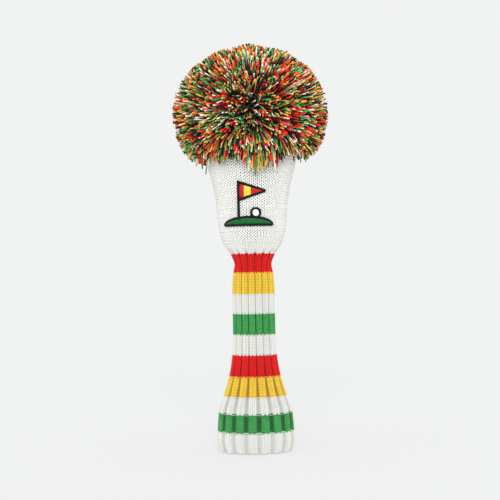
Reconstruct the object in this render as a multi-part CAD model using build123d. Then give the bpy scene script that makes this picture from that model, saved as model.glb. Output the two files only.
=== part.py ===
from build123d import *
import os
from math import cos, radians, sin, sqrt

# Knitted golf driver head cover with a pom-pom, standing on its cuff. Millimetres, +Z up.
# The embroidery faces -Y, and the origin is the middle of the base, on the surface it stands on.

# ---- driving dimensions ----
POM_WIDTH = 160.0
POM_HALF_HEIGHT = 66.8
POM_CENTRE_Z = 345.2
KNIT = 3.0  # thickness of the ribbed or plain double knit
LINING = 2.0
HEM = 2.5  # thickness of the cuff's turned-in layer
CLEARANCE = 0.4  # between layers that turn inside each other

# Rib sleeve: the height of each colour band, from the floor up to the throat.
BAND_HEIGHTS = {
    "cuff_band_white": 21.3,
    "rib_band_green_lower": 18.5,
    "rib_band_white_lower": 16.6,
    "rib_band_yellow_lower": 20.1,
    "rib_band_red_lower": 21.5,
    "rib_band_white_middle": 20.5,
    "rib_band_green_upper": 20.9,
    "rib_band_white_upper": 19.7,
    "rib_band_yellow_upper": 21.7,
    "rib_band_red_upper": 19.0,
}
SLEEVE_TOP = sum(BAND_HEIGHTS.values())

# Ellipses that the sleeve passes through: height, half width along X, half depth along Y.
SLEEVE_SECTIONS = [
    (0.0, 34.5, 26.5),
    (4.0, 37.8, 29.0),
    (12.0, 39.8, 30.5),
    (26.0, 38.9, 29.8),
    (40.0, 37.6, 28.4),
    (50.0, 34.9, 26.3),
    (60.0, 31.2, 23.6),
    (79.0, 25.9, 20.0),
    (98.0, 23.0, 18.0),
    (130.0, 21.9, 17.2),
    (160.0, 21.9, 17.4),
    (176.0, 21.1, 17.8),
    (187.5, 19.0, 18.6),
]
# The same for the hood, from its lower edge to its widest part, under the pom-pom.
HOOD_SECTIONS = [
    (SLEEVE_TOP, 22.4, 21.6),
    (204.0, 26.2, 24.2),
    (213.6, 31.3, 28.8),
    (224.0, 34.0, 31.8),
    (248.0, 36.3, 35.2),
    (268.0, 39.3, 38.4),
    (284.0, 43.5, 42.0),
    (298.0, 46.5, 45.0),
]
CROWN_HEIGHT = 24.0  # the hidden dome above the hood's widest part

# Throat, where the hood tilts on the sleeve: concentric ball-shaped layers about one pivot.
THROAT_PIVOT_Z = 192.5
THROAT_BALL_R = 19.5
THROAT_WALL = 2.3
THROAT_BALL_TOP = 201.3
ELASTIC_HEIGHT = 8.0
ELASTIC_BORE_R = 12.0

# Cuff hem and the lining's lower edge.
HEM_BOTTOM = 1.0
HEM_TOP = 21.0
LINKING_HEIGHT = 1.8
LINKING_THICKNESS = 1.2
LINING_BOTTOM = 206.5

# Tie between the crown and the pom-pom.
CROWN_HOLE_R = 2.4
SHANK_R = 1.7
GATHER_RING_R = 5.0
GATHER_YARN_R = 0.9
WASHER_R = 9.0
WASHER_THICKNESS = 2.0
KNOT_R = 4.5
POM_PIVOT_Z = 329.2
TIE_BEAD_R = 2.0
SHANK_TOP = POM_PIVOT_Z - TIE_BEAD_R - 0.5
CORE_R = 12.0
BINDING_YARN_R = 1.6

# Pom-pom yarn: bundles in rings, each ring at an angle from the top, with so many bundles.
TUFT_RINGS = [(0.0, 1), (22.5, 7), (45.0, 13), (67.5, 18), (90.0, 20), (110.0, 18)]
TUFT_COLOURS = ["red", "gold", "green", "white", "black"]
TUFT_START_R = 14.0
TUFT_ROOT_R = 1.2
TUFT_TIP_R = 7.0

# Embroidery: a pin flag on a green with a ball, on the front of the hood.
MOTIF_X = -3.5
MOTIF_Z = 248.0
THREAD_HEIGHT = 1.2
OUTLINE = 1.3
BACKING_THICKNESS = 0.6
BACKING_MARGIN = 3.0
FLAG = [(-9.0, 21.5), (-9.0, 4.5), (16.5, 13.0)]
FLAG_BAND = [(-4.0, 21.0), (-4.0, 5.0), (2.5, 5.0), (2.5, 21.0)]
POLE_X = -10.2
POLE_WIDTH = 2.4
POLE_BOTTOM = -14.0
POLE_TOP = 23.0
MOUND_Z = -20.0
MOUND_SIZE = (23.0, 7.5)
BALL_SPOT = (7.0, -8.3)
BALL_R = 4.2

FAR = 200.0  # larger than any half size, for cutting


def slab(low, high):
    """Everything between two heights."""
    return Pos(0, 0, (low + high) / 2) * Box(2 * FAR, 2 * FAR, high - low)


def tube(sections, inset):
    """Smooth solid through the ellipses, made smaller all round by inset."""
    return loft([Pos(0, 0, z) * Ellipse(a - inset, b - inset) for z, a, b in sections])


def ball(radius, height):
    return Pos(0, 0, height) * Sphere(radius)


def upright(radius, low, high):
    """Vertical cylinder on the axis."""
    return Pos(0, 0, (low + high) / 2) * Cylinder(radius, high - low)


def sleeve_bands():
    """Ten colour bands of one ribbed tube; the top one ends in the throat's ball-shaped zone."""
    shell = tube(SLEEVE_SECTIONS, 0) - tube(SLEEVE_SECTIONS, KNIT)
    throat = ball(THROAT_BALL_R, THROAT_PIVOT_Z) & slab(SLEEVE_SECTIONS[-1][0] - 1, THROAT_BALL_TOP)
    throat_hollow = ball(THROAT_BALL_R - THROAT_WALL, THROAT_PIVOT_Z)
    bands, low = {}, 0.0
    for name, height in BAND_HEIGHTS.items():
        bands[name] = shell & slab(low, low + height)
        low += height
    bands["rib_band_red_upper"] = bands["rib_band_red_upper"] + throat - throat_hollow
    return bands


def cuff_trim():
    """The turned-in hem and the linking stitches along its upper edge."""
    inner_face = tube(SLEEVE_SECTIONS, KNIT)
    hem = inner_face - tube(SLEEVE_SECTIONS, KNIT + HEM)
    linking = inner_face - tube(SLEEVE_SECTIONS, KNIT + LINKING_THICKNESS)
    return {
        "cuff_turned_hem": hem & slab(HEM_BOTTOM, HEM_TOP),
        "cuff_linking_stitch": linking & slab(HEM_TOP, HEM_TOP + LINKING_HEIGHT),
    }


def throat_elastic():
    """Round elastic inside the throat, free to tilt in the sleeve's ball-shaped zone."""
    half = ELASTIC_HEIGHT / 2
    ring = ball(THROAT_BALL_R - THROAT_WALL - CLEARANCE, THROAT_PIVOT_Z)
    ring &= slab(THROAT_PIVOT_Z - half, THROAT_PIVOT_Z + half)
    return ring - upright(ELASTIC_BORE_R, THROAT_PIVOT_Z - half, THROAT_PIVOT_Z + half)


def hood_form(inset, overrun=0.0):
    """Solid hood: the flaring lower part and the crown's flat dome."""
    widest_z, a, b = HOOD_SECTIONS[-1]
    dome = scale(Sphere(1), by=(a - inset, b - inset, CROWN_HEIGHT - inset))
    dome = Pos(0, 0, widest_z) * (dome & slab(0, FAR))
    lower = tube(HOOD_SECTIONS, inset)
    if overrun:
        z, a, b = HOOD_SECTIONS[0]
        lower += Pos(0, 0, z - overrun) * extrude(Ellipse(a - inset, b - inset), overrun)
    return lower + dome


def hood_shells(backing):
    """The white knit hood, its fleece lining and the tacking stitches under the lining."""
    socket = ball(THROAT_BALL_R + CLEARANCE, THROAT_PIVOT_Z)
    crown_hole = upright(CROWN_HOLE_R, POM_PIVOT_Z - CROWN_HEIGHT, POM_PIVOT_Z)
    inner_face = hood_form(KNIT)
    knit = hood_form(0) - hood_form(KNIT, overrun=1) - socket - crown_hole
    lining = (inner_face - hood_form(KNIT + LINING)) & slab(LINING_BOTTOM, FAR * 2)
    tacking = inner_face - hood_form(KNIT + LINKING_THICKNESS)
    return {
        "hood_knit": knit,
        "hood_lining": lining - crown_hole - backing,
        "lining_tack_stitch": tacking & slab(LINING_BOTTOM - LINKING_HEIGHT, LINING_BOTTOM),
    }


def mound_shape(margin):
    """The upper half of an ellipse, with a margin all round."""
    above = Pos(0, FAR / 2 - margin) * Rectangle(FAR, FAR)
    return Pos(0, MOUND_Z) * (Ellipse(MOUND_SIZE[0] + margin, MOUND_SIZE[1] + margin) & above)


def motif_sketches():
    """Flat shapes of the embroidery, by thread colour, about the motif's middle."""
    flag = make_face(Polyline(*FLAG, close=True))
    band = make_face(Polyline(*FLAG_BAND, close=True)) & flag
    mound, golf_ball = mound_shape(0), Pos(*BALL_SPOT) * Circle(BALL_R)
    pole_length = POLE_TOP - POLE_BOTTOM
    pole = Pos(POLE_X, POLE_BOTTOM + pole_length / 2) * Rectangle(POLE_WIDTH, pole_length)
    edging = offset(flag, OUTLINE) + mound_shape(OUTLINE) + Pos(*BALL_SPOT) * Circle(BALL_R + OUTLINE)
    return {
        "embroidery_flag_red": flag - band,
        "embroidery_flag_yellow": band,
        "embroidery_mound_green": mound,
        "embroidery_ball_white": golf_ball,
        "embroidery_outline_black": edging + pole - flag - mound - golf_ball,
    }


def through_front(sketch):
    """A flat shape on the front of the hood, as a prism from the axis out past the knit."""
    return extrude(Plane.XZ * (Pos(MOTIF_X, MOTIF_Z) * sketch), FAR)


def embroidery():
    """Raised thread that follows the hood's surface."""
    layer = hood_form(-THREAD_HEIGHT) - hood_form(0)
    return {name: layer & through_front(shape) for name, shape in motif_sketches().items()}


def embroidery_backing():
    """Round patch between the knit and the lining, behind the thread."""
    layer = hood_form(KNIT) - hood_form(KNIT + BACKING_THICKNESS)
    return layer & through_front(Circle(POLE_TOP + BACKING_MARGIN))


def crown_trim():
    """Gathering yarn on the crown, and the washer that spreads the tie's pull inside it."""
    _, a, b = HOOD_SECTIONS[-1]
    base_z = HOOD_SECTIONS[-1][0]
    layers = KNIT + LINING

    def dome_z(radius, inset):
        return base_z + (CROWN_HEIGHT - inset) * sqrt(1 - (radius / (b - inset)) ** 2)

    gather_z = dome_z(GATHER_RING_R, 0) + GATHER_YARN_R + CLEARANCE / 2
    gather = Pos(0, 0, gather_z) * Torus(GATHER_RING_R, GATHER_YARN_R)
    washer_top = dome_z(WASHER_R, layers) - CLEARANCE / 4
    washer_bottom = washer_top - WASHER_THICKNESS
    washer = upright(WASHER_R, washer_bottom, washer_top)
    washer -= upright(CROWN_HOLE_R, washer_bottom, washer_top)
    knot_z = washer_bottom - CLEARANCE - KNOT_R
    knot = ball(KNOT_R, knot_z) + upright(SHANK_R, knot_z, SHANK_TOP)
    return {"crown_gather_yarn": gather, "anchor_washer": washer, "tie_knot": knot}


def pom_middle():
    """Tie cord, the binding round the waist of the yarn, and the packed core."""
    binding = Pos(0, 0, POM_CENTRE_Z) * Rot(90, 0, 0) * Torus(CORE_R, BINDING_YARN_R)
    return {
        "tie_cord": ball(TIE_BEAD_R, POM_PIVOT_Z),
        "pom_binding": binding,
        "pom_core": ball(CORE_R, POM_CENTRE_Z) - binding,
    }


def pom_reach(angle):
    """Distance from the pom-pom's centre to its surface, at an angle from the top."""
    across = sin(angle) / (POM_WIDTH / 2)
    along = cos(angle) / POM_HALF_HEIGHT
    return 1 / sqrt(across**2 + along**2)


def tuft(reach):
    """One bundle of yarn along +Z, widening from the core to its trimmed, domed end."""
    def on_surface(radius):
        return (radius, 0, sqrt(reach**2 - radius**2))

    side = Polyline((0, 0, TUFT_START_R), (TUFT_ROOT_R, 0, TUFT_START_R), on_surface(TUFT_TIP_R))
    end = ThreePointArc(on_surface(TUFT_TIP_R), on_surface(TUFT_TIP_R / 2), (0, 0, reach))
    axis = Line((0, 0, reach), (0, 0, TUFT_START_R))
    return revolve(make_face(side + end + axis), Axis.Z)


def pom_yarn():
    """Bundles of yarn in rings, dealt out to the five colours in turn."""
    bundles = {colour: [] for colour in TUFT_COLOURS}
    dealt = 0
    for degrees, count in TUFT_RINGS:
        bundle = tuft(pom_reach(radians(degrees)))
        for place in range(count):
            turn = 360 * place / count
            where = Pos(0, 0, POM_CENTRE_Z) * Rot(0, 0, turn) * Rot(0, degrees, 0)
            bundles[TUFT_COLOURS[dealt % len(TUFT_COLOURS)]].append(where * bundle)
            dealt += 2
    return {f"pom_yarn_{colour}": Compound(children=parts) for colour, parts in bundles.items()}


def main():
    os.makedirs("parts", exist_ok=True)
    backing = embroidery_backing()
    pieces = sleeve_bands() | cuff_trim() | {"throat_elastic": throat_elastic()}
    pieces |= hood_shells(backing) | {"embroidery_backing": backing} | embroidery()
    pieces |= crown_trim() | pom_middle() | pom_yarn()
    for name, shape in pieces.items():
        export_step(shape, f"parts/{name}.step")
        print(f"{name}: {len(shape.solids())} solids, {shape.volume / 1000:.2f} cm3")


main()
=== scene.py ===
from math import atan2, cos, pi, radians, sin, sqrt
import bpy
import numpy as np
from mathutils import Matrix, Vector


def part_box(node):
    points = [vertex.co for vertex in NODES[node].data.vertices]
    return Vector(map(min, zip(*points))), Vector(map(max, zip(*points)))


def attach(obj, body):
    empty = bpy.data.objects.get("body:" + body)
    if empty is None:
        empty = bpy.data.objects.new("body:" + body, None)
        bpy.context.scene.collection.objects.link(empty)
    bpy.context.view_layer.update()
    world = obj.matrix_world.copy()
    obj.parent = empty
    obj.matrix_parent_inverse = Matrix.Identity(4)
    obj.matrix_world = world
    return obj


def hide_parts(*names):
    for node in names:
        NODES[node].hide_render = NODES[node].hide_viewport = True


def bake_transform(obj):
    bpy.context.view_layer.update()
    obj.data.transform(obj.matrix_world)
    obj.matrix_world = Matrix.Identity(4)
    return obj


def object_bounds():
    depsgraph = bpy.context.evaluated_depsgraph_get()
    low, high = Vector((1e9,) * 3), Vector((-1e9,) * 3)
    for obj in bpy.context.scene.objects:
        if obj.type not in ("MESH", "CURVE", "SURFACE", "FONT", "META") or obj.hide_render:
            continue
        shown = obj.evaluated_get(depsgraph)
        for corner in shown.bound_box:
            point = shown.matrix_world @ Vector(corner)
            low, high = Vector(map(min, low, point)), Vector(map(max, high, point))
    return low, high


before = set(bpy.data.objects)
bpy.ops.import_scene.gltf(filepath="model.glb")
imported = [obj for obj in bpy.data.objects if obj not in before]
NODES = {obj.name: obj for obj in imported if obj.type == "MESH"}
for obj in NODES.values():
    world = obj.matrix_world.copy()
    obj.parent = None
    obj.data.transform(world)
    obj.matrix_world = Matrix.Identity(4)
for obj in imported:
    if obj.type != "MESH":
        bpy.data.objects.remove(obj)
cad_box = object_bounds()

# A knitted driver head cover with a pom-pom. Metres, +Z up, the embroidery faces -Y.
MM = 0.001
RANDOM_SEED = 20

# ---- knit: stitches round and up the cover ----
WALES = 64  # columns of stitches
RIB_WALES = 4  # two knit, two purl
RIBS = WALES // RIB_WALES
FRONT_WALE = 2.04  # the wale count at the middle of the front
# Height of a course (a row of stitches), how far the yarn dips and rises through the fabric, its radius
# as a share of a wale's width, and how much painted shade darkens it beside the holes between loops.
SLEEVE_FABRIC = {"course": 2.77 * MM, "depth": 0.6 * MM, "full": 0.208, "hole_shade": 1.0}
HOOD_FABRIC = {"course": 2.87 * MM, "depth": 0.5 * MM, "full": 0.225, "hole_shade": 0.62}
STITCH_SAMPLES = 12
YARN_SIDES = 5
YARN_RADIUS = 0.68 * MM  # the least on the walls and the most on the crown
LOOP_LEAN = 0.25  # of a wale, how far a loop's legs lean
LOOP_HEIGHT = 0.64  # of a course, half the loop's height
LOOP_TILT = 0.08 * MM  # a loop's foot lies this much in front of its middle, and its head behind
SURFACE_INSET = 1.4 * MM  # from the outside of the stitches to the middle of the yarn
BACK_LIFT = -1.2 * MM  # lifts are from the middle of the yarn, outwards
BACK_THICKNESS = 0.4 * MM
# painted shade: the fabric's back skin takes its yarn's deep shade colour
BACK_SHADE_TONE = 0.0
FRONT_SPREAD = 0.07  # wales on the hood's front and back are this much wider
RIB_DEPTH = 3.2 * MM  # in the narrow neck
RIB_DEPTH_WIDE = 1.5 * MM  # at the cuff
RIB_SQUARE = 2.0  # over 1 gives flat-topped ribs with narrow grooves
GROOVE_SHADE_TONE = 0.15  # painted shade: tone in the bottom of a neck groove
KNIT_PAIR = 6.2 * MM  # width that two knit wales want
KNIT_SIDE_SHADE = 0.7  # how much painted shade darkens a strand's sides against its outside
# How fast each colour's painted shade darkens from the outside of the strands to what is between them; 1
# is evenly.
KNIT_SHADE_FALLOFF = {"white": 1.0, "red": 1.25, "yellow": 1.0, "green": 2.1}

# ---- hem: the knit turned up inside the cuff ----
HEM_INSET = 5.6 * MM
FOLD_HEIGHT = 5.0 * MM
FOLD_BOTTOM = 1.35 * MM

# ---- hood and lining ----
HOOD_PIECES = ["hood_knit_lower", "hood_knit_middle", "hood_knit_upper", "hood_knit_crown"]
LOWEST_PIECE = 27 * MM  # height of the hood's lowest piece
CROWN_DEPTH = 22 * MM  # of the crown, where the wales run together and the yarn has to get finer
RIM_DROP, RIM_INSET = 3 * MM, 0.8 * MM  # how far the hood's rim tucks in under its lower edge
LINING_LIFT = -1.7 * MM
LINING_THICKNESS = 1.7 * MM
TACK_LIFT = -2.1 * MM
TACK_DROP = 1 * MM  # of the tacking below the lining's edge
TACK_WAVE = 0.6 * MM
TACK_RADIUS = 0.35 * MM

# ---- throat elastic ----
ELASTIC_TURNS = 6
ELASTIC_RADIUS = 0.6 * MM
THROAT_HOLE = 12.0 * MM

# ---- pom-pom ----
STRANDS = 14500
STRAND_RADIUS = 0.69 * MM
STRAND_SIDES = 4
ROOT_REACH = 0.33  # where strands start, as a share of the way out
STRAND_SHADE_TONES = [0.0, 0.02, 0.08, 0.33, 0.72, 1.25]  # painted shade from the dark root to a painted highlight at the tip
SHORT_SHARE = 0.45  # of the strands, which end below the trimmed surface
TUFT_LEAN = 5.5 * MM
POM_COLOURS = ["red", "gold", "green", "white", "black"]
POM_SHARES = [0.21, 0.19, 0.21, 0.09, 0.30]
POM_CELLS = 26  # across the pom-pom, each with a colour that its strands may share
SHARED_COLOUR = 0.3  # of the strands have their cell's colour
# Reach of the trimmed yarn at angles from the top, as a share of its reach at the side.
POM_OUTLINE = [(0, 0.83), (18, 0.79), (37, 0.845), (60, 0.905),
               (80, 0.955), (90, 0.98), (120, 1.0), (180, 1.0)]
LOWEST_STRAND = 150.0  # degrees from the top
LOCK_TURN = -80.0  # where the longer lock hangs, in degrees round from +X
LOCK_WIDTH = 19.0
LOCK_LENGTH = 14.0  # below the rest, in millimetres

# ---- embroidery ----
THREAD_RADIUS = 0.34 * MM
THREAD_SPACING = 0.55 * MM
EDGING = 2.3 * MM  # width of the black outline

# ---- light and camera ----
BACKGROUND = (241, 242, 242)
FLOOR_ALBEDO = 0.3
FLOOR_SIZE = 30.0
# Broad soft lights: name, strength, angular size, tilt from overhead and turn from the front, in degrees.
LIGHTS = [("key", 1.95, 30, 71, 0), ("fill", 0.15, 90, 62, -40)]
CAMERA_DISTANCE = 1.15
CAMERA_HEIGHT = 0.19
CAMERA_SIDE = -0.003
CAMERA_ROLL = 0.018
CAMERA_LENS = 81.8
CAMERA_SHIFT = 0.0266

# Yarn and thread colours, as sRGB values from 0 to 255: on the outside, and painted shade deep between
# the strands.
YARN = {
    "white": ((242, 242, 238), (164, 165, 158)),
    "red": ((255, 20, 14), (40, 0, 0)),
    "yellow": ((255, 221, 72), (140, 60, 0)),
    "green": ((81, 196, 102), (0, 6, 2)),
}
POM_YARN = {
    "red": ((252, 32, 22), (60, 1, 1)),
    "gold": ((236, 190, 78), (90, 50, 4)),
    "green": ((64, 166, 82), (4, 40, 14)),
    "white": ((238, 229, 222), (100, 86, 80)),
    "black": ((17, 17, 17), (3, 3, 3)),
}
ELASTIC_YARN = ((232, 232, 228), (150, 150, 146))
TIE_YARN = (238, 236, 230)
CORE_YARN = (120, 112, 104)
SEWING_THREAD = (236, 235, 230)
FLEECE = (88, 88, 92)
FELT = (225, 225, 220)
WASHER = (240, 238, 232)
THREAD = {
    "red": (208, 38, 32),
    "yellow": (246, 224, 84),
    "green": (28, 112, 56),
    "white": (245, 244, 240),
    "black": (9, 9, 9),
}

random = np.random.RandomState(RANDOM_SEED)


# ---------------------------------------------------------------- materials

def linear(rgb):
    """Scene-linear colour from sRGB values of 0 to 255."""
    share = np.array(rgb, float) / 255
    value = np.where(share <= 0.04045, share / 12.92, ((share + 0.055) / 1.055) ** 2.4)
    return (*value.tolist(), 1.0)


class Shader:
    """A material under construction: short names for adding and joining nodes."""

    def __init__(self, name, roughness, sheen=0.0):
        self.material = bpy.data.materials.new(name)
        self.material.use_nodes = True
        self.tree = self.material.node_tree
        self.surface = self.tree.nodes["Principled BSDF"]
        self.surface.inputs["Roughness"].default_value = roughness
        self.surface.inputs["Specular IOR Level"].default_value = 0.2
        self.surface.inputs["Sheen Weight"].default_value = sheen
        self.surface.inputs["Sheen Roughness"].default_value = 0.5
        self.place = self.add("ShaderNodeTexCoord").outputs["Object"]

    def add(self, kind, **settings):
        node = self.tree.nodes.new(kind)
        for key, value in settings.items():
            setattr(node, key, value)
        return node

    def join(self, source, target):
        self.tree.links.new(source, target)

    def math(self, operation, *values):
        node = self.add("ShaderNodeMath", operation=operation)
        for socket, value in zip(node.inputs, values):
            if hasattr(value, "is_linked"):
                self.join(value, socket)
            else:
                socket.default_value = value
        return node.outputs[0]

    def noise(self, scale, detail=2.0, roughness=0.5, where=None):
        node = self.add("ShaderNodeTexNoise")
        node.inputs["Scale"].default_value = scale
        node.inputs["Detail"].default_value = detail
        node.inputs["Roughness"].default_value = roughness
        self.join(where or self.place, node.inputs["Vector"])
        return node.outputs[0]

    def colour(self, amount, low, high, low_at=0.3, high_at=0.7, deep=None, tone=None):
        """Base colour that runs from low to high as amount does, and from deep (a painted shade colour)
        to that as tone does.
        """
        ramp = self.add("ShaderNodeValToRGB")
        ramp.color_ramp.elements[0].position = low_at
        ramp.color_ramp.elements[0].color = low
        ramp.color_ramp.elements[1].position = high_at
        ramp.color_ramp.elements[1].color = high
        self.join(amount, ramp.inputs[0])
        result = ramp.outputs[0]
        if tone:
            blend = self.add("ShaderNodeMix", data_type="RGBA", clamp_factor=False)
            self.join(tone, blend.inputs["Factor"])
            blend.inputs[6].default_value = deep
            self.join(result, blend.inputs[7])
            result = blend.outputs[2]
        self.join(result, self.surface.inputs["Base Color"])

    def bump(self, height, distance, strength=1.0):
        node = self.add("ShaderNodeBump")
        node.inputs["Strength"].default_value = strength
        node.inputs["Distance"].default_value = distance
        self.join(height, node.inputs["Height"])
        self.join(node.outputs[0], self.surface.inputs["Normal"])


def shade(rgba, factor):
    return (*[min(1.0, channel * factor) for channel in rgba[:3]], 1.0)


def yarn_material(name, colours, ply_length, plies=2, contrast=0.12, side_shade=0.0, shade_falloff=1.0):
    """Plied yarn: helical plies across the strand and fine fibre. The tone attribute carries painted
    shade, from the deep shade colour between strands to the outer one. side_shade paints shade on a
    strand's sides, and shade_falloff sets what is between light and dark."""
    shader = Shader(name, 0.88, 0.12)
    base, deep = (linear(rgb) for rgb in colours)
    chart = shader.add("ShaderNodeSeparateXYZ")
    shader.join(shader.add("ShaderNodeUVMap", uv_map="UVMap").outputs[0], chart.inputs[0])
    twist = shader.math("MULTIPLY", chart.outputs[0], 1 / ply_length)
    turn = shader.math("MULTIPLY_ADD", chart.outputs[1], float(plies), twist)
    ply = shader.math("MULTIPLY", shader.math("PINGPONG", turn, 0.5), 2.0)
    fibre = shader.noise(1800.0, 3.0, 0.7)
    # colour: partly painted shade in the grooves between plies, partly fibre and yarn mottling
    mix = shader.math("MULTIPLY_ADD", ply, 0.4, shader.math("MULTIPLY", fibre, 0.4))
    mix = shader.math("MULTIPLY_ADD", shader.noise(120.0, 1.0), 0.2, mix)
    tone = shader.add("ShaderNodeAttribute", attribute_name="tone").outputs["Fac"]
    # painted shade: a strand's sides come out darker than its outside
    facing = shader.math("SINE", shader.math("MULTIPLY", chart.outputs[1], 2 * pi))
    side_shade_tone = shader.math("MULTIPLY_ADD", facing, side_shade / 2, 1 - side_shade / 2)
    # painted shade: the tone, darkened on the sides, blends towards the deep shade colour
    shader.colour(mix, shade(base, 1 - 2 * contrast), shade(base, 1 + 0.25 * contrast), 0.1, 0.75,
                  deep, shader.math("POWER", shader.math("MULTIPLY", tone, side_shade_tone), shade_falloff))
    height = shader.math("MULTIPLY_ADD", fibre, 0.3, shader.math("POWER", ply, 0.6))
    shader.bump(height, 0.35 * MM, 0.7)
    return shader.material


def thread_material(name, rgb):
    """Shiny embroidery thread with fine filaments."""
    shader = Shader(name, 0.42, 0.05)
    base = linear(rgb)
    chart = shader.add("ShaderNodeSeparateXYZ")
    shader.join(shader.add("ShaderNodeUVMap", uv_map="UVMap").outputs[0], chart.inputs[0])
    along = shader.math("MULTIPLY", chart.outputs[0], 1400.0)
    turn = shader.math("MULTIPLY_ADD", chart.outputs[1], 3.0, along)
    filament = shader.math("MULTIPLY", shader.math("PINGPONG", turn, 0.5), 2.0)
    speck = shader.noise(900.0)
    # colour: partly painted shade between filaments, partly speckle in the thread
    shader.colour(shader.math("MULTIPLY_ADD", speck, 0.6, shader.math("MULTIPLY", filament, 0.4)),
                  shade(base, 0.72), shade(base, 1.06), 0.2, 0.8)
    shader.bump(filament, 0.1 * MM, 0.5)
    return shader.material


def fleece_material(name, rgb):
    """Brushed pile for the lining."""
    shader = Shader(name, 0.95, 0.4)
    base = linear(rgb)
    pile = shader.noise(700.0, 4.0, 0.75)
    shader.colour(pile, shade(base, 0.6), shade(base, 1.25), 0.35, 0.68)
    shader.bump(pile, 0.8 * MM, 0.8)
    return shader.material


def plastic_material(name, rgb):
    """Moulded plastic with a faint grain."""
    shader = Shader(name, 0.45)
    base = linear(rgb)
    grain = shader.noise(2200.0, 2.0)
    shader.colour(grain, shade(base, 0.9), shade(base, 1.03))
    shader.bump(grain, 0.03 * MM, 0.6)
    return shader.material


# ---------------------------------------------------------------- meshes

def put_mesh(name, points, faces, chart, tone, material):
    """A mesh from numpy arrays. faces is a list of (faces, corners) index arrays, and chart has a
    row for each corner."""
    mesh = bpy.data.meshes.new(name)
    mesh.vertices.add(len(points))
    mesh.vertices.foreach_set("co", points.astype(np.float32).ravel())
    corners = np.concatenate([part.ravel() for part in faces]).astype(np.int32)
    counts = np.concatenate([np.full(len(part), part.shape[1]) for part in faces])
    mesh.loops.add(len(corners))
    mesh.loops.foreach_set("vertex_index", corners)
    mesh.polygons.add(len(counts))
    mesh.polygons.foreach_set("loop_start", (np.cumsum(counts) - counts).astype(np.int32))
    mesh.polygons.foreach_set("use_smooth", np.ones(len(counts), bool))
    mesh.update(calc_edges=True)
    layer = mesh.uv_layers.new(name="UVMap")
    layer.data.foreach_set("uv", chart.astype(np.float32).ravel())
    attribute = mesh.attributes.new("tone", "FLOAT", "POINT")
    attribute.data.foreach_set("value", tone.astype(np.float32))
    mesh.materials.append(material)
    piece = bpy.data.objects.new(name, mesh)
    bpy.context.scene.collection.objects.link(piece)
    return piece


class Bundle:
    """Collects geometry for one piece."""

    def __init__(self):
        self.points, self.faces, self.chart, self.tone = [], [], [], []
        self.count = 0

    def add(self, points, faces, chart, tone):
        self.faces += [part + self.count for part in faces]
        self.chart += chart
        self.points.append(points)
        self.tone.append(tone)
        self.count += len(points)

    def piece(self, name, material):
        return put_mesh(name, np.concatenate(self.points), self.faces,
                        np.concatenate(self.chart), np.concatenate(self.tone), material)


def unit(vectors):
    return vectors / np.maximum(np.linalg.norm(vectors, axis=-1, keepdims=True), 1e-12)


def add_tubes(bundle, paths, ups, radii, sides, tones, closed=False):
    """Round tubes along paths (tubes, points, 3). ups are directions across each path, and radii and
    tones are arrays that fit (tubes, points). Open tubes get rounded-off flat ends."""
    count, long = paths.shape[:2]
    if closed:
        along = np.roll(paths, -1, 1) - np.roll(paths, 1, 1)
    else:
        along = np.gradient(paths, axis=1)
    along = unit(along)
    side = unit(np.cross(ups, along))
    up = np.cross(along, side)
    turn = 2 * pi * np.arange(sides) / sides
    radii = np.broadcast_to(radii, (count, long))[:, :, None, None]
    ring = side[:, :, None] * np.cos(turn)[:, None] + up[:, :, None] * np.sin(turn)[:, None]
    points = (paths[:, :, None] + radii * ring).reshape(-1, 3)
    tones = np.broadcast_to(np.broadcast_to(tones, (count, long))[:, :, None], (count, long, sides))

    steps = long if closed else long - 1
    tube, step, place = np.meshgrid(np.arange(count), np.arange(steps), np.arange(sides), indexing="ij")
    after, beside = (step + 1) % long, (place + 1) % sides
    start = tube * long * sides
    quads = np.stack([start + step * sides + place, start + step * sides + beside,
                      start + after * sides + beside, start + after * sides + place], -1).reshape(-1, 4)
    gaps = np.linalg.norm(np.diff(paths, axis=1, append=paths[:, :1]), axis=2)
    reach = np.concatenate([np.zeros((count, 1)), np.cumsum(gaps, 1)], 1)
    near, far = reach[tube, step], reach[tube, step + 1]
    low, high = place / sides, (place + 1) / sides
    chart = np.stack([near, low, near, high, far, high, far, low], -1).reshape(-1, 2)
    faces, charts = [quads], [chart]
    if not closed:
        first = np.arange(count)[:, None] * long * sides
        around = np.arange(sides)[None]
        faces += [first + around[:, ::-1], first + (long - 1) * sides + around]
        charts += [np.zeros((count * sides, 2)), np.zeros((count * sides, 2))]
    bundle.add(points, faces, charts, tones.ravel())


def add_grid(bundle, points, tone):
    """A closed skin from points (rows, columns, 3) that wrap both ways."""
    rows, columns = points.shape[:2]
    row, column = np.meshgrid(np.arange(rows), np.arange(columns), indexing="ij")
    below, beside = (row + 1) % rows, (column + 1) % columns
    quads = np.stack([row * columns + column, row * columns + beside,
                      below * columns + beside, below * columns + column], -1).reshape(-1, 4)
    chart = np.zeros((quads.size, 2))
    bundle.add(points.reshape(-1, 3), [quads], [chart], np.full(rows * columns, tone))


# ---------------------------------------------------------------- the cover's profile

def half_sizes(node, height):
    """Half width and half depth of a CAD shell's outside at a height."""
    _, side, _, _ = NODES[node].ray_cast((1, 0, height), (-1, 0, 0))
    _, front, _, _ = NODES[node].ray_cast((0, -1, height), (0, 1, 0))
    return side[0], -front[1]


def smooth(values, reach):
    """Gaussian smoothing that holds the ends."""
    offsets = np.arange(-3 * reach, 3 * reach + 1)
    weights = np.exp(-0.5 * (offsets / reach) ** 2)
    padded = np.pad(values, 3 * reach, mode="reflect", reflect_type="odd")
    return np.convolve(padded, weights / weights.sum(), mode="valid")


BANDS = sorted((n for n in NODES if "band" in n), key=lambda n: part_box(n)[0][2])
HOOD_LOW, HOOD_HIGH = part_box("hood_knit")
PIVOT_Z = sum(corner[2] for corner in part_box("throat_elastic")) / 2
SLEEVE_TOP = HOOD_LOW[2]


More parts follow.
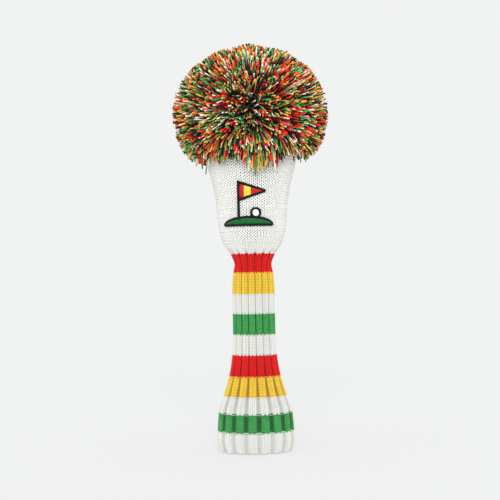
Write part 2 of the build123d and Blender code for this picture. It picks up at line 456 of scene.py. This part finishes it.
class Cover:
    """The knit's middle surface: a profile from the hem's inner edge, round the fold at the
    floor, up the sleeve and hood and over the crown, with an ellipse at each place along it."""

    STEP = 0.25 * MM
    SKIP = 0.2 * MM

    def __init__(self):
        heights, wide, deep = self.outside()
        inset = SURFACE_INSET
        wide, deep = wide - inset, deep - inset
        hem = heights[(heights > FOLD_HEIGHT) & (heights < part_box("cuff_turned_hem")[1][2])][::-1]
        hem_in = HEM_INSET - inset
        hem_wide, hem_deep = (np.interp(hem, heights, size) - hem_in for size in (wide, deep))
        turn = np.linspace(0, pi, 14)[1:-1]
        fold = FOLD_HEIGHT - (FOLD_HEIGHT - FOLD_BOTTOM) * np.sin(turn)
        centre = [np.interp(FOLD_HEIGHT, heights, size) - hem_in / 2 for size in (wide, deep)]
        fold_wide, fold_deep = (c - hem_in / 2 * np.cos(turn) for c in centre)
        outer = heights > FOLD_HEIGHT
        z = np.concatenate([hem, fold, heights[outer]])
        wide = np.concatenate([hem_wide, fold_wide, wide[outer]])
        deep = np.concatenate([hem_deep, fold_deep, deep[outer]])
        middle = (wide + deep) / 2
        reach = np.concatenate([[0], np.cumsum(np.hypot(np.diff(middle), np.diff(z)))])
        self.along = np.arange(0, reach[-1], self.STEP)
        self.z, self.wide, self.deep = (
            smooth(np.interp(self.along, reach, size), 5) for size in (z, wide, deep))
        rise, grow = np.gradient(self.z), np.gradient((self.wide + self.deep) / 2)
        length = np.hypot(rise, grow)
        self.rise, self.grow = rise / length, grow / length
        self.fold_end = reach[len(hem) + len(fold)]

    def outside(self):
        """Heights and the CAD shells' half sizes, from the floor to near the middle of the crown."""
        rows = []
        for node in BANDS:
            low, high = (corner[2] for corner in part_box(node))
            high = min(high, PIVOT_Z)
            for height in np.linspace(low + self.SKIP, high - self.SKIP, 14):
                rows.append((height, *half_sizes(node, height)))
        rim = half_sizes("hood_knit", SLEEVE_TOP + self.SKIP)
        rows.append((SLEEVE_TOP - RIM_DROP, *(size - RIM_INSET for size in rim)))
        wall = [(h, *half_sizes("hood_knit", h))
                for h in np.arange(SLEEVE_TOP + self.SKIP, HOOD_HIGH[2] - 4 * MM, 1 * MM)]
        widest = max(wall, key=lambda row: row[1])
        rows += [row for row in wall if row[0] <= widest[0]]
        for turn in np.linspace(0.05, radians(78), 26):
            height = widest[0] + (HOOD_HIGH[2] - widest[0]) * sin(turn)
            rows.append((height, widest[1] * cos(turn), widest[2] * cos(turn)))
        return np.array(rows).T

    def at(self, values, along):
        return np.interp(along, self.along, values)

    def place_of(self, height):
        """How far along the profile the outside reaches a height."""
        outer = self.along > self.fold_end
        return float(np.interp(height, self.z[outer], self.along[outer]))

    def ribbing(self, along):
        """1 on the sleeve, fading to 0 just above the throat."""
        height = self.at(self.z, along)
        return np.clip((SLEEVE_TOP + 6 * MM - height) / (9 * MM), 0, 1)

    def points(self, wale, along, lift):
        """Points for arrays of wale counts, distances along the profile and lifts off the
        surface, with the outward direction and a tone at each, which painted shade darkens in the
        grooves."""
        wide, deep = self.at(self.wide, along), self.at(self.deep, along)
        ribs = self.ribbing(along)
        girth = pi * (3 * (wide + deep) - np.sqrt((3 * wide + deep) * (wide + 3 * deep)))
        pitch = girth / RIBS
        stretch = np.clip((pitch - 6.9 * MM) / (6.7 * MM), 0, 1)
        depth = ribs * (RIB_DEPTH + (RIB_DEPTH_WIDE - RIB_DEPTH) * stretch)
        pinch = ribs * np.clip(KNIT_PAIR / 2 - pitch / RIB_WALES, 0.5 * MM, 0.9 * pitch / (2 * pi))
        phase = (wale - 1) / RIB_WALES * 2 * pi
        sunk = (1 - np.cos(phase)) / 2
        fall = -depth * RIB_SQUARE * sunk ** (RIB_SQUARE - 1) * np.sin(phase) / 2
        run = pitch / (2 * pi) + pinch * np.cos(phase)
        slope = np.hypot(fall, run)
        out = -depth * sunk**RIB_SQUARE + lift * run / slope
        across = pinch * np.sin(phase) - lift * fall / slope
        share = (wale - FRONT_WALE) / WALES
        share = share + (1 - ribs) * FRONT_SPREAD / (4 * pi) * np.sin(4 * pi * share) + across / girth
        turn = self.angle(share, float(np.mean(wide)), float(np.mean(deep)))
        x, y = wide * np.sin(turn), -deep * np.cos(turn)
        normal = unit(np.stack([deep * np.sin(turn), -wide * np.cos(turn)], -1))
        rise, grow = self.at(self.rise, along), self.at(self.grow, along)
        outward = np.stack([normal[..., 0] * rise, normal[..., 1] * rise, -grow], -1)
        middle = np.stack([x, y, self.at(self.z, along)], -1)
        # painted shade: the tone darkens towards the bottom of each rib groove
        shaded = np.clip(sunk**RIB_SQUARE / 0.5 - 0.15, 0, 1) * depth / RIB_DEPTH
        tone = 1 - (1 - GROOVE_SHADE_TONE) * shaded
        return middle + out[..., None] * outward, outward, tone

    @staticmethod
    def angle(share, wide, deep):
        """Angle on an ellipse at a share of the way round, from the front towards +X."""
        turn = np.linspace(0, 2 * pi, 361)
        middle = (turn[1:] + turn[:-1]) / 2
        steps = np.hypot(wide * np.cos(middle), deep * np.sin(middle))
        length = np.concatenate([[0], np.cumsum(steps)])
        whole = np.floor(share)
        return 2 * pi * whole + np.interp(share - whole, length / length[-1], turn)


cover = Cover()


# ---------------------------------------------------------------- knit pieces

def knit(name, material, start, end, fabric):
    """Courses of interlocked loops between two places on the profile, with the fabric's back."""
    bundle = Bundle()
    courses = max(1, round((end - start) / fabric["course"]))
    pitch = (end - start) / courses
    wale = np.arange(WALES * STITCH_SAMPLES) / STITCH_SAMPLES
    stitch = 2 * pi * (wale % 1)
    paths, ups, radii, tones = [], [], [], []
    for index in range(courses):
        middle = start + (index + 0.5) * pitch
        slack = np.repeat(random.normal(0, 0.035, WALES), STITCH_SAMPLES)
        drift = 0.06 * MM * random.normal()
        along = middle + drift - LOOP_HEIGHT * (1 + slack) * pitch * np.cos(stitch)
        ribs = cover.ribbing(along)
        face = np.clip(1.5 * np.sin(pi * wale / 2), -1, 1) * ribs + (1 - ribs)
        dip = fabric["depth"] * np.cos(2 * stitch) * face
        lift = LOOP_TILT * np.cos(stitch) * np.maximum(face, 0) - dip
        place = wale + LOOP_LEAN * np.sin(2 * stitch)
        loop_points, outward, tone = cover.points(place, along, lift)
        paths.append(loop_points)
        ups.append(outward)
        full = fabric["full"] * 2 * pi * float(cover.at(cover.wide, middle)) / WALES
        crown = middle > cover.place_of(HOOD_HIGH[2] - CROWN_DEPTH)
        radii.append(np.full(len(wale), min(YARN_RADIUS, full) if crown else max(YARN_RADIUS, full)))
        # The holes between loops form a lattice, and painted shade darkens the yarn towards them.
        level = (along - middle - drift) / pitch
        hole_shade_mask = np.clip(0.25 - np.cos(2 * pi * place) * np.cos(2 * pi * (level - 0.25)), 0, 1)
        tone = tone - fabric["hole_shade"] * (0.7 + 0.3 * face) * hole_shade_mask  # painted shade, less on the purl side
        tones.append(tone * np.repeat(random.normal(1.0, 0.03, WALES), STITCH_SAMPLES))
    paths, ups, radii, tones = (np.array(rows) for rows in (paths, ups, radii, tones))
    add_tubes(bundle, paths, ups, radii, YARN_SIDES, tones, closed=True)
    if start > 0:  # the inner layer of the double knit, drawn in painted shade; the hem lies against the cuff's own
        add_skin(bundle, start, end, BACK_LIFT, BACK_THICKNESS, BACK_SHADE_TONE)
    return bundle.piece(name, material)


def add_skin(bundle, start, end, lift, thickness, tone):
    """A closed skin of one thickness behind the loops, between two places on the profile."""
    wale = np.arange(WALES * 4) / 4
    rows = np.linspace(start, end, max(3, round((end - start) / (2 * MM))))

    def face(rows, lift):
        flat = np.ones(len(wale))
        return [cover.points(wale, row * flat, lift * flat)[0] for row in rows]

    add_grid(bundle, np.array(face(rows, lift) + face(rows[::-1], lift - thickness)), tone)


def knit_materials():
    return {colour: yarn_material(f"knit_{colour}", colours, 3.2 * MM, contrast=0.08, side_shade=KNIT_SIDE_SHADE,
                                  shade_falloff=KNIT_SHADE_FALLOFF[colour])
            for colour, colours in YARN.items()}


def band_colour(node):
    return next(colour for colour in YARN if colour in node)


def make_sleeve(materials):
    """One piece for each colour band, and the hem turned up inside the cuff."""
    for node in BANDS:
        low, high = (corner[2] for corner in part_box(node))
        start = cover.fold_end - 2 * MM if node == BANDS[0] else cover.place_of(low)
        end = cover.place_of(min(high, SLEEVE_TOP))
        colour = band_colour(node)
        piece = knit(node.replace("band", "knit"), materials[colour], start, end, SLEEVE_FABRIC)
        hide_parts(node)
        if node == BANDS[-1]:
            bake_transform(piece)
        else:
            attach(piece, "sleeve")
    hem = knit("turned_hem_knit", materials["white"], 0, cover.fold_end - 2 * MM, SLEEVE_FABRIC)
    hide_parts("cuff_turned_hem")
    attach(hem, "sleeve")


def bend_above_throat(piece):
    """Bake the piece's placement into its mesh, attached to no body."""
    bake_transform(piece)


def make_lining():
    """The fleece inside the hood, and the stitches that tack its lower edge to the knit."""
    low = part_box("hood_lining")[0][2]
    start, end = cover.place_of(low), float(cover.along[-1])
    bundle = Bundle()
    add_skin(bundle, start, end, LINING_LIFT, LINING_THICKNESS, 1.0)
    fleece = bundle.piece("fleece_lining", fleece_material("lining_fleece", FLEECE))
    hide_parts("hood_lining")
    bend_above_throat(fleece)
    along = np.linspace(start, end, 200)

    stitches = Bundle()
    wale = np.arange(WALES * 4) / 4
    along = start - TACK_DROP + TACK_WAVE * np.sin(pi * wale)
    path, outward, tone = cover.points(wale, along, np.full(len(wale), TACK_LIFT))
    add_tubes(stitches, path[None], outward[None], np.array([TACK_RADIUS]), 6, tone[None], closed=True)
    tacks = stitches.piece("tack_stitches", thread_material("tack_thread", SEWING_THREAD))
    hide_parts("lining_tack_stitch")
    bend_above_throat(tacks)


def make_hood(materials):
    """The white hood in pieces one above another; the lowest is baked in place, the rest ride the hood.
    """
    start, end = cover.place_of(SLEEVE_TOP), float(cover.along[-1])
    edges = [start, *np.linspace(cover.place_of(SLEEVE_TOP + LOWEST_PIECE), end, len(HOOD_PIECES))]
    for name, low, high in zip(HOOD_PIECES, edges[:-1], edges[1:]):
        piece = knit(name, materials["white"], low, high, HOOD_FABRIC)
        if name == HOOD_PIECES[0]:
            bend_above_throat(piece)
        else:
            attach(piece, "hood")
        if name == HOOD_PIECES[1]:
            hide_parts("hood_knit")


# ---------------------------------------------------------------- pom-pom

POM_LOW, POM_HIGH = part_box("pom_core")
POM_CENTRE = np.array([0, 0, (POM_LOW[2] + POM_HIGH[2]) / 2])
POM_SIDE = (cad_box[1][0] - cad_box[0][0]) / 2
SHOULDER_WIDE = HOOD_HIGH[0]


def pom_reach(angle):
    """Distance from the pom-pom's middle to its trimmed surface, by angle from the top."""
    turns, shares = zip(*POM_OUTLINE)
    return POM_SIDE * np.interp(np.degrees(angle), turns, shares)


def spread_directions(count, lowest):
    """Angles from the top and round the axis, evenly spread over a ball down to lowest."""
    order = np.arange(count) + 0.5
    angle = np.arccos(1 - (1 - cos(lowest)) * order / count)
    turn = order * pi * (3 - sqrt(5))
    return angle, turn


def drift_field(points, wavelength, seed):
    """Smooth vector noise, so that neighbouring strands lean together."""
    local = np.random.RandomState(seed)
    total = np.zeros_like(points)
    for _ in range(6):
        wave = unit(local.normal(size=3)) * 2 * pi / (wavelength * local.uniform(0.7, 1.4))
        total += np.sin(points @ wave + local.uniform(0, 2 * pi))[:, None] * local.normal(size=3)
    return total / sqrt(6)


def soft_step(values, low, high):
    share = np.clip((values - low) / (high - low), 0, 1)
    return share * share * (3 - 2 * share)


def jitter(spread):
    return random.normal(0, spread, (STRANDS, 3))


def skirt_level(turn):
    """Height of the lowest tips round the pom-pom, measured from its middle: a longer lock in front,
    and shorter on the right."""
    from_lock = (np.degrees(turn) - LOCK_TURN + 180) % 360 - 180
    lock = np.exp(-(from_lock / LOCK_WIDTH) ** 2)
    waves = np.sin(5 * turn + 1) + np.sin(11 * turn)
    front = -np.minimum(0, np.sin(turn))
    return -(43.5 - 3 * np.cos(turn) + 5 * front + LOCK_LENGTH * lock + 2 * waves) * MM


def strand_tips(angle, turn, way, flat):
    """Where strands end: on the trimmed outline or a little short of it, brushed together in tufts.
    The lowest hang round the hood's shoulder."""
    uneven = np.abs(random.normal(0, 0.014, STRANDS))
    is_short = random.uniform(size=STRANDS) < SHORT_SHARE
    short = np.where(is_short, random.uniform(0.02, 0.25, STRANDS), uneven)
    tip = way * (pom_reach(angle) * (1 - short))[:, None]
    tip += drift_field(tip, 24 * MM, 3) * TUFT_LEAN + jitter(3.6 * MM)
    length = np.linalg.norm(tip, axis=1)
    stray = np.where(random.uniform(size=STRANDS) < 0.02, 1.03, 1.004)
    outline = pom_reach(np.arccos(tip[:, 2] / length)) * stray
    tip *= np.minimum(1, outline / length)[:, None]

    level = skirt_level(turn) + random.normal(0, 4.5 * MM, STRANDS)
    lip = flat * (SHOULDER_WIDE + 3 * MM + np.abs(random.normal(0, 4 * MM, STRANDS)))[:, None]
    lip[:, 2] = level
    tip += (lip - tip) * np.clip((angle - radians(130)) / radians(12), 0, 1)[:, None]
    tip[:, 2] = np.maximum(tip[:, 2], level)
    return tip


def strand_paths():
    """Middle lines of all the strands (strands, points, 3), from deep in the pom-pom to the cut tips."""
    angle, turn = spread_directions(STRANDS, radians(LOWEST_STRAND))
    angle, turn = angle + random.normal(0, 0.015, STRANDS), turn + random.normal(0, 0.015, STRANDS)
    flat = np.stack([np.cos(turn), np.sin(turn), np.zeros(STRANDS)], -1)
    way = flat * np.sin(angle)[:, None]
    way[:, 2] = np.cos(angle)
    tip = strand_tips(angle, turn, way, flat)
    root = way * (ROOT_REACH * pom_reach(angle))[:, None]
    bend = (root + tip) / 2 + drift_field(tip, 20 * MM, 5) * TUFT_LEAN / 2 + jitter(3 * MM)

    # The lowest strands go out over the hood's shoulder and then hang.
    over = soft_step(angle, radians(108), radians(138))[:, None]
    shoulder = flat * (SHOULDER_WIDE + 9 * MM) + [0, 0, -17 * MM] + jitter(1.2 * MM)
    bend += (shoulder - bend) * over
    root += (flat * 14 * MM + [0, 0, -13 * MM] - root) * over
    t = np.linspace(0, 1, len(STRAND_SHADE_TONES))[None, :, None]
    paths = (1 - t) ** 2 * root[:, None] + 2 * t * (1 - t) * bend[:, None] + t * t * tip[:, None]
    crook = random.normal(0, 0.5 * MM, (STRANDS, len(STRAND_SHADE_TONES), 3)) * np.clip(t * 1.5, 0, 1)
    return POM_CENTRE + paths + crook, way


def strand_colours(ways):
    """A colour for each strand; near neighbours often share one, as several ends are wound together."""
    cell = np.floor((ways + 1) * POM_CELLS / 2).astype(int)
    lumps = np.random.RandomState(8).choice(len(POM_COLOURS), (POM_CELLS + 2,) * 3, p=POM_SHARES)
    own = random.choice(len(POM_COLOURS), len(ways), p=POM_SHARES)
    shared = random.uniform(size=len(ways)) < SHARED_COLOUR
    return np.where(shared, lumps[cell[:, 0], cell[:, 1], cell[:, 2]], own)


def make_pom():
    """Cut yarn in five colours, a piece for each."""
    paths, ways = strand_paths()
    colours = strand_colours(ways)
    ups = np.broadcast_to(np.cross(ways, [0.31, 0.22, 0.92])[:, None], paths.shape)
    radii = STRAND_RADIUS * random.normal(1, 0.07, STRANDS)[:, None] * np.ones(len(STRAND_SHADE_TONES))
    radii[:, -1] *= 0.95
    # random tone for each strand, times painted shade towards the root and painted highlight at the tip
    tones = random.normal(1.0, 0.10, STRANDS)[:, None] * STRAND_SHADE_TONES
    for index, colour in enumerate(POM_COLOURS):
        chosen = colours == index
        bundle = Bundle()
        add_tubes(bundle, paths[chosen], ups[chosen], radii[chosen], STRAND_SIDES, tones[chosen])
        contrast = 0.08 if colour == "white" else 0.16
        material = yarn_material(f"pom_{colour}", POM_YARN[colour], 4.5 * MM, contrast=contrast)
        piece = bundle.piece(f"pom_strands_{colour}", material)
        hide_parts(f"pom_yarn_{colour}")
        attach(piece, "pom")


# ---------------------------------------------------------------- embroidery

def hood_front(across, height, lift):
    """Points on the front of the hood's outside, for arrays of sideways places and heights."""
    outer = cover.along > cover.fold_end
    along = np.interp(height, cover.z[outer], cover.along[outer])
    wide = cover.at(cover.wide, along) + SURFACE_INSET
    deep = cover.at(cover.deep, along) + SURFACE_INSET
    slope = across / wide
    depth = deep * np.sqrt(1 - slope**2)
    outward = unit(np.stack([across / wide**2, -depth / deep**2, np.zeros_like(across)], -1))
    return np.stack([across, -depth, height], -1) + lift[..., None] * outward, outward


def add_threads(bundle, starts, ends, lift, arch, points=7):
    """Satin stitches: threads that rise out of the knit, run over it and go back in."""
    t = np.linspace(0, 1, points)
    flat = starts[:, None] + (ends - starts)[:, None] * t[None, :, None]
    rise = lift + arch * (1 - np.abs(2 * t - 1) ** 3)[None] * np.ones((len(starts), 1))
    paths, outward = hood_front(flat[..., 0], flat[..., 1], rise)
    radii = THREAD_RADIUS * random.normal(1, 0.05, len(starts))[:, None]
    tones = random.normal(1, 0.08, len(starts))[:, None]
    add_tubes(bundle, paths, outward, radii, 5, tones)


def fill(bundle, outline, direction, lift=0.1 * MM, arch=0.9 * MM):
    """Parallel threads across a convex outline (a list of places on the hood's front)."""
    outline = np.array(outline)
    way = np.array([cos(direction), sin(direction)])
    across = np.array([-way[1], way[0]])
    spots = outline @ across
    starts, ends = [], []
    for level in np.arange(spots.min() + THREAD_SPACING / 2, spots.max(), THREAD_SPACING):
        hits = []
        for one, other in zip(outline, np.roll(outline, -1, 0)):
            a, b = one @ across - level, other @ across - level
            if a * b < 0:
                hits.append((one + (other - one) * a / (a - b)) @ way)
        if len(hits) == 2:
            ragged = random.uniform(-0.2, 0.2, 2) * MM
            starts.append(way * (min(hits) + ragged[0]) + across * level)
            ends.append(way * (max(hits) + ragged[1]) + across * level)
    add_threads(bundle, np.array(starts), np.array(ends), lift, arch)


def edge(bundle, outline, width, closed=True, lift=0.3 * MM, arch=1.1 * MM):
    """A satin-stitched line along an outline."""
    outline = np.array(outline)
    line = np.concatenate([outline, outline[:1]]) if closed else outline
    reach = np.concatenate([[0], np.cumsum(np.linalg.norm(np.diff(line, axis=0), axis=1))])
    spots = np.arange(0, reach[-1], THREAD_SPACING * 0.8)
    middle = np.stack([np.interp(spots, reach, line[:, axis]) for axis in (0, 1)], -1)
    way = unit(np.gradient(middle, axis=0))
    across = np.stack([-way[:, 1], way[:, 0]], -1) * width / 2
    across *= random.normal(1, 0.05, len(spots))[:, None]
    add_threads(bundle, middle - across, middle + across, lift, arch, points=5)


def box_of(node):
    low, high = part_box(node)
    return (low[0], low[2]), (high[0], high[2])


def oval(centre, size, start=0.0, end=2 * pi, steps=28):
    turns = np.linspace(start, end, steps)
    return [(centre[0] + size[0] * cos(t), centre[1] + size[1] * sin(t)) for t in turns]


def make_embroidery():
    """Pin flag, ball and green in satin stitch, edged in black."""
    (left, low), (right, high) = box_of("embroidery_flag_red")
    (band_left, _), (band_right, _) = box_of("embroidery_flag_yellow")
    tip = (right, (low + high) / 2)
    flag = [(left, low), tip, (left, high)]

    def flag_half(x):
        return (high - low) / 2 * (right - x) / (right - left)

    def strip(x0, x1):
        return [(x0, tip[1] - flag_half(x0)), (x1, tip[1] - flag_half(x1)),
                (x1, tip[1] + flag_half(x1)), (x0, tip[1] + flag_half(x0))]

    (mound_left, mound_low), (mound_right, mound_high) = box_of("embroidery_mound_green")
    mound_size = ((mound_right - mound_left) / 2, mound_high - mound_low)
    mound = oval(((mound_left + mound_right) / 2, mound_low), mound_size, 0, pi)
    (ball_left, ball_low), (ball_right, ball_high) = box_of("embroidery_ball_white")
    ball_centre = ((ball_left + ball_right) / 2, (ball_low + ball_high) / 2)
    ball = oval(ball_centre, ((ball_right - ball_left) / 2, (ball_high - ball_low) / 2))[:-1]
    _, (_, pole_high) = box_of("embroidery_outline_black")
    pole_x = left - 0.6 * MM
    pole = [(pole_x, mound_high - 2 * MM), (pole_x, pole_high)]

    ends = [strip(left, band_left), strip(band_right, right - 0.5 * MM)]
    jobs = {
        "red": ("embroidery_flag_red", ends, pi / 2),
        "yellow": ("embroidery_flag_yellow", [strip(band_left, band_right)], pi / 2),
        "green": ("embroidery_mound_green", [mound], pi / 2),
        "white": ("embroidery_ball_white", [ball], 0.3),
    }
    for colour, (node, outlines, direction) in jobs.items():
        bundle = Bundle()
        for outline in outlines:
            fill(bundle, outline, direction)
        put_embroidery(bundle, colour, node)
    bundle = Bundle()
    for outline, closed in ((flag, True), (mound, True), (ball, True), (pole, False)):
        edge(bundle, outline, EDGING, closed)
    put_embroidery(bundle, "black", "embroidery_outline_black")


def put_embroidery(bundle, colour, node):
    piece = bundle.piece(f"satin_{colour}", thread_material(f"thread_{colour}", THREAD[colour]))
    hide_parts(node)
    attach(piece, "hood")


# ---------------------------------------------------------------- hidden pieces

def make_elastic():
    """Elastic thread laid in rings inside the throat."""
    low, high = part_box("throat_elastic")
    levels = np.linspace(low[2] + ELASTIC_RADIUS, high[2] - ELASTIC_RADIUS, ELASTIC_TURNS)
    turn = np.linspace(0, 2 * pi, 97)[:-1]
    ring = np.stack([np.cos(turn), np.sin(turn), np.zeros(96)], -1)
    paths = np.stack([ring * (THROAT_HOLE + ELASTIC_RADIUS) + [0, 0, level] for level in levels])
    ups = np.broadcast_to(ring, paths.shape)
    bundle = Bundle()
    add_tubes(bundle, paths, ups, np.array([ELASTIC_RADIUS]), 8, np.ones(1), closed=True)
    piece = bundle.piece("elastic_rings", yarn_material("elastic", ELASTIC_YARN, 0.8 * MM, plies=1))
    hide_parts("throat_elastic")
    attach(piece, "throat")


def dress_cad():
    """Materials for the CAD pieces that stay, all of them hidden inside the cover or the pom-pom."""
    thread = thread_material("sewing_thread", SEWING_THREAD)
    tie = plain_yarn("tie_yarn", TIE_YARN)
    dressed = {
        "embroidery_backing": fleece_material("backing_felt", FELT),
        "anchor_washer": plastic_material("washer_plastic", WASHER),
        "crown_gather_yarn": plain_yarn("gather_yarn", YARN["white"][0]),
        "pom_core": plain_yarn("core_yarn", CORE_YARN),
        "cuff_linking_stitch": thread,
        "tie_knot": tie,
        "tie_cord": tie,
        "pom_binding": tie,
    }
    for node, material in dressed.items():
        for slot in NODES[node].material_slots:
            slot.material = material


def plain_yarn(name, rgb):
    """Yarn for CAD pieces that have no map of their own: twist from bands in space."""
    shader = Shader(name, 0.9, 0.15)
    base = linear(rgb)
    wave = shader.add("ShaderNodeTexWave", wave_type="BANDS", bands_direction="DIAGONAL")
    wave.inputs["Scale"].default_value = 260.0
    wave.inputs["Distortion"].default_value = 2.0
    shader.join(shader.place, wave.inputs["Vector"])
    shader.colour(wave.outputs["Fac"], shade(base, 0.7), shade(base, 1.02), 0.1, 0.8)
    shader.bump(wave.outputs["Fac"], 0.4 * MM, 0.8)
    return shader.material


# ---------------------------------------------------------------- stage, light and camera

def make_stage():
    """A pale light table that melts into a backdrop of the same colour."""
    tone = linear(BACKGROUND)
    world = bpy.data.worlds.new("studio")
    bpy.context.scene.world = world
    world.use_nodes = True
    world.node_tree.nodes["Background"].inputs["Color"].default_value = tone
    mesh = bpy.data.meshes.new("floor")
    corners = [(-FLOOR_SIZE, -FLOOR_SIZE, 0), (FLOOR_SIZE, -FLOOR_SIZE, 0),
               (FLOOR_SIZE, FLOOR_SIZE, 0), (-FLOOR_SIZE, FLOOR_SIZE, 0)]
    mesh.from_pydata(corners, [], [(0, 1, 2, 3)])
    floor = bpy.data.objects.new("floor", mesh)
    bpy.context.scene.collection.objects.link(floor)
    shader = Shader("light_table", 1.0)
    shader.surface.inputs["Specular IOR Level"].default_value = 0.0
    grey = (FLOOR_ALBEDO, FLOOR_ALBEDO, FLOOR_ALBEDO)
    shader.colour(shader.noise(40.0, 2.0), shade(grey, 0.995), shade(grey, 1.005))
    shader.surface.inputs["Emission Color"].default_value = floor_glow()
    shader.surface.inputs["Emission Strength"].default_value = 1.0
    mesh.materials.append(shader.material)


def floor_glow():
    """What a light table has to add to its lit surface to come out as bright as the backdrop."""
    from_lights = sum(strength * cos(radians(tilt)) / pi for _, strength, _, tilt, _ in LIGHTS)
    return (*[tone - FLOOR_ALBEDO * (tone + from_lights) for tone in linear(BACKGROUND)[:3]], 1.0)


def make_lights():
    """Soft lights in front and above; the pale world fills the rest."""
    for name, strength, size, tilt, turn in LIGHTS:
        lamp = bpy.data.lights.new(name, "SUN")
        lamp.energy = strength
        lamp.angle = radians(size)
        light = bpy.data.objects.new(name, lamp)
        light.rotation_euler = (radians(tilt), 0, radians(turn))
        bpy.context.scene.collection.objects.link(light)


def make_camera():
    lens = bpy.data.cameras.new("camera")
    lens.lens = CAMERA_LENS
    lens.shift_y = CAMERA_SHIFT
    lens.clip_end = 100
    camera = bpy.data.objects.new("camera", lens)
    camera.location = (CAMERA_SIDE, -CAMERA_DISTANCE, CAMERA_HEIGHT)
    camera.rotation_euler = (pi / 2, CAMERA_ROLL, 0)
    bpy.context.scene.collection.objects.link(camera)
    bpy.context.scene.camera = camera
    bpy.context.scene.view_settings.view_transform = "Standard"


make_camera()
make_stage()
make_lights()
knits = knit_materials()
make_sleeve(knits)
make_hood(knits)
make_lining()
make_elastic()
make_embroidery()
make_pom()
dress_cad()
